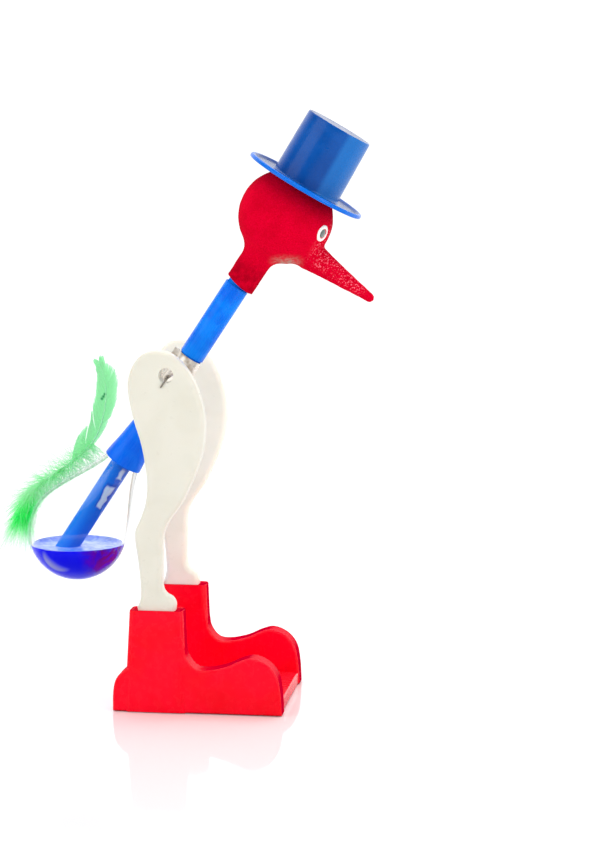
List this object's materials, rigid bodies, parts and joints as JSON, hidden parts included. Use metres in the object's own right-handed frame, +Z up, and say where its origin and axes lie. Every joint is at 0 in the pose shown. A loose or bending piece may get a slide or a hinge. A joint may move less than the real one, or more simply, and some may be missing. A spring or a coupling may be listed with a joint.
{
  "type": "drinking bird",
  "caption": "Desk toy bird: a glass tube and bulb of blue liquid on a knife-edge clip that rocks between legs set in joined boots, with a felt head, beak, top hat and tail feather.",
  "frame": {"origin": "on the table, straight below the rocking axis, midway between the legs", "axes": "+X the way the beak points, +Z up, +Y to the bird's left along the rocking axis"},
  "size_m": [0.0936, 0.0394, 0.1502],
  "materials": {
    "boot_red": "glossy moulded red plastic",
    "leg_ivory": "satin moulded ivory plastic",
    "clip_tin": "thin folded tinplate, slightly dull",
    "clear_glass": "clear lamp-blown glass",
    "liquid_blue": "deep blue dyed liquid",
    "sleeve_blue": "thin azure plastic tubing, slightly glossy",
    "hat_blue": "glossy moulded blue plastic",
    "felt_red": "flocked red felt, worn at the chin and beak",
    "beak_core": "plain pressed cone, hidden",
    "eye_white": "glossy white plastic",
    "pupil_dark": "glossy dark grey-green bead",
    "quill_green": "dyed feather quill",
    "vane_green": "dyed mint green feather barbs",
    "down_green": "dyed bright green fluffy down",
    "glue_clear": "set clear glue"
  },
  "bodies": {
    "stand": {"boots_base": "boot_red", "leg_left": "leg_ivory", "leg_right": "leg_ivory"},
    "bird": {"pivot_clip": "clip_tin", "glass_stem": "clear_glass", "glass_bulb": "clear_glass", "liquid_column": "liquid_blue", "sleeve_upper": "sleeve_blue", "sleeve_lower": "sleeve_blue", "head_cover": "felt_red", "beak_cover": "felt_red", "beak_core": "beak_core", "eye_left": "eye_white", "eye_right": "eye_white", "pupil_left": "pupil_dark", "pupil_right": "pupil_dark", "hat": "hat_blue", "feather_quill": "quill_green", "feather_vane_front": "vane_green", "feather_vane_rear": "vane_green", "feather_down": "down_green", "feather_glue": "glue_clear"},
    "liquid": {"liquid_pool": "liquid_blue"}
  },
  "joints": [
    {"name": "rock", "type": "hinge", "parent": "stand", "child": "bird", "pos_m": [0, 0, 0.084], "axis": [0, 1, 0], "range_deg": [-43, 50]},
    {"name": "liquid_level", "type": "hinge", "parent": "bird", "child": "liquid", "pos_m": [-0.02721, 0, 0.04229], "axis": [0, 1, 0], "range_deg": [-50, 43]}
  ],
  "couplings": [
    {"joint": "liquid_level", "follows": "rock", "ratio": -1}
  ]
}
